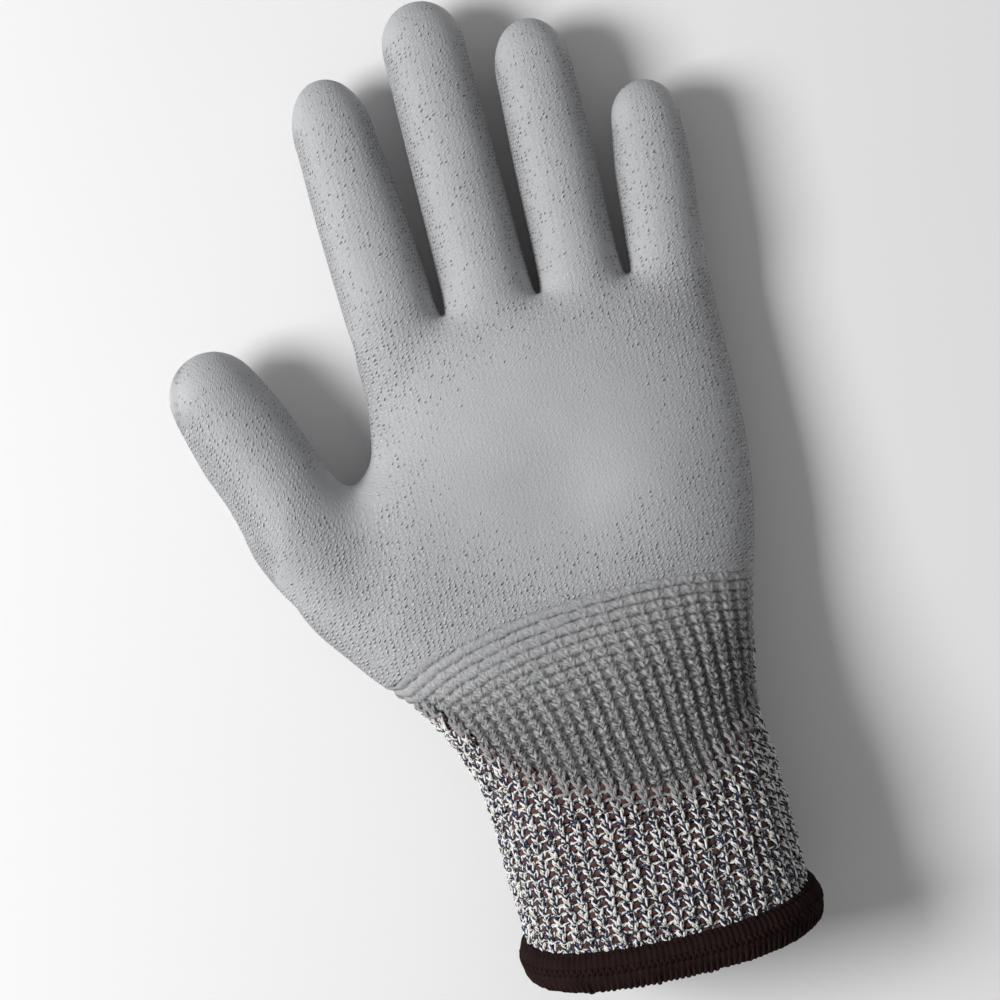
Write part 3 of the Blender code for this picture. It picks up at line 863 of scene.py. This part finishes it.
def build_hand(hand, film, knit):
    points, faces = hand.points, hand.faces
    normals = vertex_normals(points, faces)
    # The film thins to nothing at its edge, where it sinks into the knit
    rise = FILM_THICKNESS * smoothstep(-0.02, 0.22, hand.cover)
    rise -= FILM_SINKS * (1 - smoothstep(FILM_FROM, 0.04, hand.cover))
    # Both layers dive under the rib where it starts
    under_rib = UNDER_RIB * (1 - smoothstep(-1.4, 0.4, points[:, 1] - hand.rib_y))
    film_points = points + normals * (rise - under_rib)[:, None]
    knit_points = points - normals * under_rib[:, None]
    on_floor = knit_points[:, 2] < 0.05
    film_points[on_floor] = above_floor(film_points[on_floor])
    thin = film_thinness(hand)
    above_rib = points[:, 1] > hand.rib_y - 2.6
    layers = (
        ("film", film_points, vertex_normals(film_points, faces), 1, hand.cover > FILM_FROM, film, "coating"),
        ("knit", knit_points, normals, -1, hand.cover < KNIT_TO, knit, "liner"),
    )
    corner_stall = hand.stall_of[faces]
    face_stall = np.where((corner_stall == corner_stall[:, :1]).all(1), corner_stall[:, 0], -1)
    face_t = hand.t[faces].mean(1)
    for what, at, turned, face, keep, material, node in layers:
        coordinates = np.stack([hand.u[face], hand.v[face], thin], -1)
        kept = (keep & above_rib)[faces].all(1)
        slot, ends = ("palm_coating", ("coating", "fold")) if what == "film" else ("liner_knit", ("liner",))
        for i, stall in enumerate(hand.stalls):
            cuts = cut_planes(stall)
            for segment, low, high in zip(stall.segments, cuts, cuts[1:]):
                mine = kept & (face_stall == i) & (face_t >= low) & (face_t < high)
                name = f"{stall.name}_{segment}"
                piece = make_piece(f"{name}_{what}", at, faces[mine], material, coordinates, turned)
                follow(piece, stall, segment)
                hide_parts(*(f"{name}_{end}" for end in ends))
        mine = kept & (face_stall == -1)
        piece = make_piece(f"palm_{what}", at, faces[mine], material, coordinates, turned)
        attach(piece, "palm")
        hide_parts(f"four_finger_palm_{node}", f"five_finger_palm_{node}")


# --- Rib tube ---


class Rib:
    """The wrist and cuff tube. wale runs round it from the middle of the palm side, course down it."""

    COLUMNS = 16
    # Where each column's place is read for the rib's start and for the hem's slope
    START_Y = -34
    END_LEVEL = 8

    def __init__(self):
        angles = np.linspace(-math.pi, math.pi, 721)
        self.levels = np.linspace(-124, -26, 99)
        self.wales = np.arange(-WALES / 2, WALES / 2 + 1e-9, 1 / self.COLUMNS)
        self.rings = np.array([self.ring(y, angles) for y in self.levels])
        near = self.rings[np.argmin(np.abs(self.levels - self.START_Y))]
        low = self.rings[self.END_LEVEL]
        self.start = interpolate(RIB_START, near[:, 0])
        self.end = HEM_END_Y - (low[:, 2] - HEM_MIDDLE_Z) * HEM_SLOPE

    def ring(self, y, angles):
        """Points of the tube's section at y, evenly spaced from wale to wale."""
        ring = section(y, angles)
        if y > -50:
            ring = palm_forms(ring)
        ring = above_floor(ring, YARN_ROOM)
        steps = np.linalg.norm(np.diff(ring, axis=0), axis=1)
        length = np.concatenate([[0], np.cumsum(steps)])
        at = (self.wales + WALES / 2) / WALES * length[-1]
        at = np.mod(at + np.interp(0, angles, length) - length[-1] / 2, length[-1])
        return np.stack([np.interp(at, length, ring[:, axis]) for axis in range(3)], -1)

    def surface(self, wale, course):
        """Points and outward normals at wale and course numbers."""
        wale, course = np.broadcast_arrays(np.asarray(wale, float), np.asarray(course, float))
        step = 0.02
        across = self.at(wale + step, course) - self.at(wale - step, course)
        down = self.at(wale, course + step) - self.at(wale, course - step)
        return self.at(wale, course), unit(np.cross(down, across))

    def at(self, wale, course):
        column = np.mod(wale + WALES / 2, WALES) * self.COLUMNS
        j, b = column.astype(int), column % 1
        k = np.minimum(j + 1, len(self.wales) - 1)
        start = self.start[j] * (1 - b) + self.start[k] * b
        end = self.end[j] * (1 - b) + self.end[k] * b
        y = start + (end - start) * course / COURSES
        level = np.clip((y - self.levels[0]) / (self.levels[1] - self.levels[0]), 0, len(self.levels) - 1.001)
        i, a = level.astype(int), (level % 1)[..., None]
        b = b[..., None]
        low, high = (self.rings[row, j] * (1 - b) + self.rings[row, k] * b for row in (i, i + 1))
        point = low * (1 - a) + high * a
        point[..., 1] = y
        return point

    def film_end(self, wale):
        """Course at which the film ends, for each wale. The back has no film."""
        wale = np.asarray(wale, float)
        test = np.linspace(0, COURSES, 145)
        points = self.at(wale[:, None], test[None, :])
        past = points[..., 1] < interpolate(FILM_END, points[..., 0])
        end = test[np.argmax(past, axis=1)]
        side = np.abs(wale) / (WALES / 4)
        return end * (1 - smoothstep(0.93, 1.08, side)) - 3 * smoothstep(1.02, 1.10, side)


def sleeve_piece(name, points, faces, material, knit, nodes=(), extra=None):
    """A piece with its placement baked into its mesh, in place of these CAD nodes."""
    piece = make_piece(name, points, faces, material, knit, extra=extra)
    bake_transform(piece)
    if nodes:
        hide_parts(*nodes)


def rib_relief(wale, course, columns):
    """Relief of the filmed rib, from 0 in its grooves to 1 on its stitches.

    columns is from 0, where the film fills the gaps between the wales, to 1, where they stand alone.
    """
    aside = np.abs(np.mod(wale, 1) - 0.5)
    row = np.mod(course - (0.10 + 0.25 * columns) * aside, 1)
    groove = 1 - np.sin(math.pi * row) ** (0.40 + 0.14 * columns)
    band = np.sqrt(np.maximum(0, 1 - (aside / 0.40) ** 2))
    leg = 0.05 + 0.27 * (1 - np.mod(course - 0.1, 1))
    stitch = np.sqrt(np.maximum(0, 1 - ((aside - leg) / 0.15) ** 2))
    raised = band * (0.68 + 0.32 * stitch)
    fill = 0.86 * (1 - columns) + 0.30 * columns
    return np.maximum(raised, fill) * (1 - (0.98 - 0.28 * columns) * groove)


def build_rib_film(rib, material):
    """Film over the rib, from the first groove to its uneven edge."""
    per_wale, per_course = 12, 9
    side_limit = int(WALES / 4 * 1.12 * per_wale)
    wales = np.arange(-side_limit, side_limit + 1) / per_wale
    ends = rib.film_end(wales)[None, :]
    last_row = int(COURSES * 0.70 * per_course)
    wale, course = np.meshgrid(wales, np.arange(-6, last_row + 1) / per_course)
    place = np.stack([wale, course, np.zeros(wale.shape)], -1)
    left = ends + noise_at(place, 0.8, 4) * 1.3 + noise_at(place, 2.2, 5) * 0.6 - course
    share = np.clip(course / np.maximum(ends, 6), 0, 1)
    # The columns stand out sooner towards the little finger's side
    sooner = 0.22 * smoothstep(-4, 10, wale)
    columns = 0.06 + 0.94 * smoothstep(-0.02 - sooner, 0.68 - sooner, share)
    wander = 0.08 * noise_at(place, 1.4, 8)
    relief = rib_relief(wale + wander, course + wander * 1.5, columns)
    begin = smoothstep(-0.55, -0.12, course)
    relief = 0.97 + (relief - 0.97) * begin
    bumps = noise_at(place * (1, 0.8, 1), 3.4, 6) + 0.7 * noise_at(place * (1, 0.7, 1), 6.1, 9)
    rise = -0.75 + 1.15 * relief + 0.22 * bumps * (0.15 + columns) * begin
    rise -= 1.1 * (1 - smoothstep(-0.4, 1.6, left))
    point, normal = rib.surface(wale, course)
    at = above_floor(point + normal * rise[..., None])
    rows, across = wale.shape
    i, j = np.meshgrid(np.arange(rows - 1), np.arange(across - 1), indexing="ij")
    first = (i * across + j).ravel()
    faces = np.stack([first, first + 1, first + across + 1, first + across], -1)[:, ::-1]
    keep = (left > -0.6).ravel()
    faces = faces[keep[faces].all(1)]
    bare = 0.65 * smoothstep(-0.5 * sooner, 0.95 - sooner, share) + 0.3 * (1 - smoothstep(0.0, 3.5, left))
    knit = np.stack([wale * RIB_WALE, course * RIB_COURSE, relief], -1).reshape(-1, 3)
    nodes, extra = ("wrist_rib_coating",), {"bare": bare.ravel()}
    sleeve_piece("wrist_rib_film", at.reshape(-1, 3), faces, material, knit, nodes, extra)


def tubes(paths, normals, radii, sides, squash=1.0):
    """Tubes along paths, an array of (path, point, 3). normals hold one frame vector for each point.

    Returns points, faces and (round, along) coordinates in millimetres.
    """
    count, length, _ = paths.shape
    tangent = unit(np.gradient(paths, axis=1))
    side = unit(np.cross(tangent, normals))
    up = np.cross(side, tangent)
    angle = np.linspace(0, 2 * math.pi, sides, endpoint=False)
    ring = np.cos(angle)[:, None] * side[..., None, :] + squash * np.sin(angle)[:, None] * up[..., None, :]
    radii = np.broadcast_to(radii, paths.shape[:2])
    points = paths[..., None, :] + ring * radii[..., None, None]
    i, j, k = np.meshgrid(np.arange(count), np.arange(length - 1), np.arange(sides), indexing="ij")
    n = (k + 1) % sides
    base = (i * length + j) * sides
    faces = np.stack([base + k, base + n, base + sides + n, base + sides + k], -1).reshape(-1, 4)
    steps = np.linalg.norm(np.diff(paths, axis=1), axis=2)
    along = np.concatenate([np.zeros((count, 1)), np.cumsum(steps, axis=1)], axis=1)
    # Each tube starts at another place in its material's pattern
    along = along + np.arange(count)[:, None] * 7.7
    round_at = np.broadcast_to(angle * 0.3, points.shape[:3])
    coordinates = np.stack([round_at, np.broadcast_to(along[..., None], round_at.shape)], -1)
    return points.reshape(-1, 3), faces, coordinates.reshape(-1, 2)


def bundle(runs, sides, apart=0.0):
    """Tubes of many lengths as one, from (path, normal, radius, coated) runs.

    apart is how far each run lies from the one before in the material's pattern, in millimetres.
    """
    points, faces, knit, first = [], [], [], 0
    for i, (path, normal, radius, coated) in enumerate(runs):
        radius = np.broadcast_to(radius, (1, len(path)))
        tube_points, tube_faces, at = tubes(path[None], normal[None], radius, sides)
        at[:, 1] += i * apart
        points.append(tube_points)
        faces.append(tube_faces + first)
        knit.append(np.column_stack([at, np.repeat(coated, sides)]))
        first += len(tube_points)
    return above_floor(np.concatenate(points)), np.concatenate(faces), np.concatenate(knit)


# One stitch of the rib, as (wale, course, rise): from the middle of the gap between two raised wales,
# up the left leg, round the head behind the stitch above, down the right leg and on to the next gap
GAP = (0.00, 0.10, -0.62)
LEFT_LEG = (
    (0.26, 0.15, -0.50), (0.42, 0.14, -0.30), (0.44, -0.12, 0.20),
    (0.34, -0.44, 0.20), (0.23, -0.74, -0.25), (0.32, -1.02, -1.00),
)
HEAD = (0.50, -1.12, -1.20)
RIGHT_LEG = [(1 - wale, course, rise) for wale, course, rise in reversed(LEFT_LEG)]
STITCH = (GAP, *LEFT_LEG, HEAD, *RIGHT_LEG)
TURNS_PER_STITCH = 3.4
# How much the stitches vary: across, along and out, and the yarn's length in them
LOOSE_WALE, LOOSE_COURSE, LOOSE_RISE, LOOSE_LENGTH = 0.045, 0.08, 0.14, 0.10
# The plies twisted into one yarn, as (colour, distance from its middle, radius) in millimetres
STRANDS = (("white", 0.29, 0.28), ("cream", 0.27, 0.26), ("navy", 0.27, 0.26))
# The elastic yarn in each course, which swells in the gaps between the wales: how far it lies behind the
# course, its depth behind a wale, how far it comes out in a gap, and its radius behind a wale
ELASTIC_COURSE, ELASTIC_DEPTH, ELASTIC_RISE, ELASTIC_RADIUS = 0.36, 1.10, 0.55, 0.34
# How finely the strands are drawn on the palm side and on the back: points a stitch, and sides
FRONT_DETAIL = (24, 5)
BACK_DETAIL = (14, 4)
FRONT_WALES = 28


def closed_curve(points, samples, period):
    """Smooth path through control points that repeat every period along their first value."""
    control = np.array(points)
    count = len(control)
    at = np.arange(samples) / samples * count
    k = at.astype(int)
    u = (at % 1)[:, None]

    def around(i):
        turns, index = np.divmod(i, count)
        return control[index] + np.outer(turns, (period, 0, 0))

    p0, p1, p2, p3 = (around(k + d) for d in (-1, 0, 1, 2))
    return 0.5 * (
        2 * p1 + (p2 - p0) * u + (2 * p0 - 5 * p1 + 4 * p2 - p3) * u**2 + (3 * p1 - p0 - 3 * p2 + p3) * u**3
    )


def stitch_runs(shown, first_wale, last_wale):
    """Runs of neighbouring wales that show, for each course, as (course, first wale, length)."""
    runs = []
    for course in range(1, COURSES + 1):
        wale = first_wale
        while wale < last_wale:
            length = 0
            while wale + length < last_wale and shown(wale + length, course):
                length += 1
            if length:
                runs.append((course, wale, length))
            wale += max(length, 1)
    return runs


def yarn_path(rib, stitch, course, first, length, random):
    """Centre line, outward normals, twist and looseness of one run of stitches."""
    samples = len(stitch)
    loose = np.repeat(random.normal(0, 1, (length, 3)), samples, axis=0)
    base = np.tile(stitch, (length, 1))
    u = base[:, 0] + np.repeat(np.arange(length), samples) + first + loose[:, 0] * LOOSE_WALE
    v = base[:, 1] * (1 + LOOSE_LENGTH * loose[:, 2]) + course + loose[:, 1] * LOOSE_COURSE
    w = base[:, 2] + LOOSE_RISE * loose[:, 2]
    end = [[first + length, course + GAP[1], GAP[2]]]
    path = np.concatenate([np.stack([u, v, w], -1), end])
    point, normal = rib.surface(path[:, 0], path[:, 1])
    stitches = np.arange(len(path)) / samples
    twist = stitches * TURNS_PER_STITCH + random.uniform()
    twist += 0.22 * np.sin(stitches * 4.1) + 0.10 * np.append(loose[:, 0], 0)
    return point + normal * path[:, 2:3], normal, twist


def build_rib_yarns(rib, materials):
    """The bare rib: each course a yarn of three plies, looped over a brown elastic yarn."""
    ends = rib.film_end(np.arange(WALES) - WALES / 2 + 0.5)

    def film_end(wale):
        return ends[int(wale + WALES / 2) % WALES]

    def shown(wale, course):
        return course > film_end(wale) - 1.5

    half = FRONT_WALES // 2
    sides = (("front", -half, half, FRONT_DETAIL), ("back", half, WALES - half, BACK_DETAIL))
    random = np.random.default_rng(5)
    for where, first_wale, last_wale, (samples, round_sides) in sides:
        stitch = closed_curve(STITCH, samples, 1.0)
        strands = {"white": [], "cream": [], "navy": [], "brown": []}
        for course, first, length in stitch_runs(shown, first_wale, last_wale):
            centre, normal, twist = yarn_path(rib, stitch, course, first, length, random)
            tangent = unit(np.gradient(centre, axis=0))
            side = unit(np.cross(tangent, normal))
            up = np.cross(side, tangent)
            past_film = np.array([course - film_end(first + k) for k in range(length)])
            coated = np.append(np.repeat(np.clip(1 - past_film / 1.2, 0, 1), samples), 0)
            for k, (colour, offset, radius) in enumerate(STRANDS):
                turn = (twist + k / len(STRANDS))[:, None] * 2 * math.pi
                out = np.cos(turn) * side + np.sin(turn) * up
                strands[colour].append((centre + out * offset, normal, radius, coated))
            ring_wales = np.arange(length * 6 + 1) / 6 + first
            bulge = (0.5 + 0.5 * np.cos(2 * math.pi * ring_wales)) ** 0.7
            point, normal = rib.surface(ring_wales, course - ELASTIC_COURSE)
            rise = ELASTIC_RISE * bulge - ELASTIC_DEPTH + random.normal(0, 0.03, len(bulge))
            radius = ELASTIC_RADIUS * (1 + bulge)
            strands["brown"].append((point + normal * rise[:, None], normal, radius, 0 * bulge))
        for colour, runs in strands.items():
            points, faces, knit = bundle(runs, round_sides + (colour == "brown"), apart=31.7)
            nodes = ["cuff_elastic_yarn"] if (where, colour) == ("back", "brown") else []
            sleeve_piece(f"rib_{where}_{colour}_strand", points, faces, materials[colour], knit, nodes)


# Depths of the ground's outer and inner face under the rib's surface, and the height of its ridges
GROUND_OUTER, GROUND_INNER, GROUND_RIDGE = 1.5, 2.4, 0.28
GROUND_ABOVE_FLOOR = 0.5


def build_rib_ground(rib, material):
    """The rib's inner face and what shows between its yarns: a tube with soft ribs."""
    per_wale, per_course = 6, 2
    wales = np.arange(WALES * per_wale) / per_wale - WALES / 2
    courses = np.arange(-1, COURSES * per_course + 2) / per_course
    wale, course = np.meshgrid(wales, courses)
    point, normal = rib.surface(wale, course)
    ridge = np.cos(2 * math.pi * wale)
    outer_depth, inner_depth = GROUND_OUTER + GROUND_RIDGE * ridge, GROUND_INNER - GROUND_RIDGE * ridge
    outer = above_floor(point - normal * outer_depth[..., None])
    inner = above_floor(point - normal * inner_depth[..., None], GROUND_ABOVE_FLOOR)
    rings = np.concatenate([outer, inner[::-1]])
    faces = loft_faces(len(rings), len(wales), ring=True)[:, ::-1]
    knit = np.stack([wale * RIB_WALE, course * RIB_COURSE, ridge], -1)
    knit = np.concatenate([knit, knit[::-1]]).reshape(-1, 3)
    nodes = ("wrist_rib_liner", "cuff_liner")
    sleeve_piece("rib_ground", rings.reshape(-1, 3), faces, material, knit, nodes)


# --- Hem ---

HEM_STITCHES = 128
WALES_PER_HEM_STITCH = WALES / HEM_STITCHES
HEM_MIDDLE = 1.2
HEM_HALF_HEIGHT = 4.6
HEM_HALF_DEPTH = 3.6
NEEDLE_ROW = 5.9


def hem_points(rib, wale, rise, out):
    """Points at a rise above the knit's end and a distance out of its surface, and which way is out there."""
    _, normal = rib.surface(wale, COURSES - 0.6)
    outward = unit(normal * (1, 0, 1))
    point = rib.at(wale, np.full(wale.shape, float(COURSES)))
    return point + outward * out[..., None] + np.array((0, 1, 0)) * rise[..., None], outward


def hem_section(angle):
    """Rise and distance out at an angle round the hem: 0 is straight out, a quarter turn is down."""
    rise = HEM_MIDDLE - HEM_HALF_HEIGHT * signed_power(np.sin(angle), 0.8)
    out = -0.6 + HEM_HALF_DEPTH * signed_power(np.cos(angle), 0.8)
    return rise, out


def cuff_piece(name, points, faces, material, knit, slot, *nodes):
    """A piece that rides the cuff, in place of these CAD nodes. A knit of two values gets 0 as its third."""
    if knit.shape[1] == 2:
        knit = np.column_stack([knit, np.zeros(len(knit))])
    piece = make_piece(name, above_floor(points), faces, material, knit)
    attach(piece, "cuff")
    if nodes:
        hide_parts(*nodes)


def build_hem(rib, roll_material, stitch_material):
    # The knit's edge inside the stitches
    rows, columns = 28, HEM_STITCHES * 4
    wales = np.arange(columns) / columns * WALES - WALES / 2
    wale, angle = np.meshgrid(wales, np.arange(rows) / rows * 2 * math.pi)
    rise, out = hem_section(angle)
    place = np.stack([wale * RIB_WALE, angle * 3, np.zeros(wale.shape)], -1)
    swell = 0.22 * np.cos(2 * math.pi * wale / WALES_PER_HEM_STITCH) + 0.22 * noise_at(place, 0.45, 7)
    rise = HEM_MIDDLE + (rise - HEM_MIDDLE) * (1 + swell * 0.2)
    at, _ = hem_points(rib, wale, rise, out * (1 + swell * 0.25))
    faces = loft_faces(rows, columns, ring=True)
    knit = np.stack([angle * 3, wale * RIB_WALE], -1).reshape(-1, 2)
    cuff_piece("hem_roll", at.reshape(-1, 3), faces, roll_material, knit, "hem_binding", "hem_overlock")

    # The looper stitches wrapped round it
    random = np.random.default_rng(11)
    turn = np.linspace(0.10 * math.pi, 1.22 * math.pi, 14)
    stitch = np.arange(HEM_STITCHES)[:, None]
    wale = (stitch + 0.5) * WALES_PER_HEM_STITCH - WALES / 2
    lean = 0.10 + random.normal(0, 0.03, wale.shape)
    wale = wale + lean * np.cos(turn)[None, :] + random.normal(0, 0.012, wale.shape)
    rise, out = hem_section(np.broadcast_to(turn, wale.shape))
    lift = 1.02 + random.normal(0, 0.02, (HEM_STITCHES, 1))
    path, _ = hem_points(rib, wale, HEM_MIDDLE + (rise - HEM_MIDDLE) * lift, out * lift)
    outward = path - path.mean(axis=1, keepdims=True)
    narrow = np.maximum(np.sin(np.linspace(0, math.pi, 14)) ** 0.35, 0.35)
    points, faces, knit = tubes(path, unit(outward + 1e-9), 0.62 * narrow[None, :], 7, squash=0.75)
    cuff_piece("hem_overlock_stitches", points, faces, stitch_material, knit, "hem_binding")

    # The looper threads that lie along the roll above the wrapped stitches
    runs = []
    wale = np.arange(HEM_STITCHES * 6 + 1) / 6 * WALES_PER_HEM_STITCH - WALES / 2
    for k, angle in enumerate((-0.02 * math.pi, -0.40 * math.pi)):
        wave = 2 * math.pi * wale / WALES_PER_HEM_STITCH + k * math.pi
        rise, out = hem_section(angle + 0.10 * np.sin(wave))
        path, normal = hem_points(rib, wale, rise, out * (0.97 + 0.03 * np.cos(wave)))
        runs.append((path, normal, 0.52 + 0.06 * np.sin(wave * 0.37), np.zeros(len(path))))
    points, faces, knit = bundle(runs, 6)
    cuff_piece("hem_looper_threads", points, faces, roll_material, knit, "hem_binding")

    # The needle thread's short stitches just above the roll
    wale = (stitch + np.linspace(0.15, 0.85, 6)[None, :]) * WALES_PER_HEM_STITCH - WALES / 2
    out = 0.05 + 0.35 * np.broadcast_to(np.sin(np.linspace(0, math.pi, 6)), wale.shape)
    path, normal = hem_points(rib, wale, np.full(wale.shape, NEEDLE_ROW), out)
    points, faces, knit = tubes(path, normal, 0.22, 6)
    cuff_piece("hem_needle_stitches", points, faces, stitch_material, knit, "hem_thread", "hem_needle_thread")


# --- Stage ---

VIEW_CENTRE = Vector((4.9, -1.3, 14.0)) * MM
VIEW_FIELD = 250 * MM
VIEW_ROLL = math.radians(13)
VIEW_DISTANCE = 0.9
SENSOR = 36.0
FLOOR_HALF = 3.0
FLOOR_GAP = 0.3 * MM
KEY_LIGHT_PLACE = (-1.01, 0.13, 0.90)
KEY_LIGHT_SIZE = 0.55
KEY_LIGHT_POWER = 19
WORLD_STRENGTH = 0.25


def build_camera():
    camera = bpy.data.cameras.new("camera")
    camera.lens = SENSOR * VIEW_DISTANCE / VIEW_FIELD
    camera.sensor_width = SENSOR
    holder = add_object("camera", camera)
    holder.location = VIEW_CENTRE + Vector((0, 0, VIEW_DISTANCE))
    holder.rotation_euler = (0, 0, -VIEW_ROLL)
    bpy.context.scene.camera = holder


def build_key_light():
    light = bpy.data.lights.new("key", "AREA")
    light.energy = KEY_LIGHT_POWER
    light.size = KEY_LIGHT_SIZE
    holder = add_object("key", light)
    holder.location = KEY_LIGHT_PLACE
    towards = Vector((0, 0, 0.01)) - Vector(KEY_LIGHT_PLACE)
    holder.rotation_euler = towards.to_track_quat("-Z", "Y").to_euler()


def build_stage():
    corners = np.array([(-1, -1, 0), (1, -1, 0), (1, 1, 0), (-1, 1, 0)])
    mesh = new_mesh("floor", corners, [[0, 1, 2, 3]], scale=FLOOR_HALF)
    mesh.materials.append(floor_material())
    floor = add_object("floor", mesh)
    floor.location.z = -FLOOR_GAP
    world = bpy.data.worlds.new("studio")
    world.use_nodes = True
    background = world.node_tree.nodes["Background"]
    background.inputs["Color"].default_value = (1, 1, 1, 1)
    background.inputs["Strength"].default_value = WORLD_STRENGTH
    bpy.context.scene.world = world
    bpy.context.scene.view_settings.view_transform = "Standard"
    build_key_light()
    build_camera()


def main():
    film, knit = film_material(), knit_material()
    build_hand(Hand(), film, knit)
    rib = Rib()
    build_rib_film(rib, rib_film_material())
    yarns = {
        "white": yarn_material("white_yarn", YARN_WHITE, YARN_NAVY, 0.60, 0.63),
        "cream": yarn_material("cream_yarn", YARN_CREAM, YARN_NAVY, 0.55, 0.59),
        "navy": yarn_material("navy_yarn", YARN_NAVY, YARN_NAVY_PALE, 0.55, 0.7),
        "brown": yarn_material("brown_yarn", YARN_BROWN, YARN_BROWN_DARK, 0.45, 0.7, dark=YARN_BROWN_GAP),
    }
    build_rib_yarns(rib, yarns)
    build_rib_ground(rib, ground_material())
    build_hem(rib, hem_material("hem_roll", 1.0), hem_material("hem_stitch", 1.25))
    build_stage()


main()
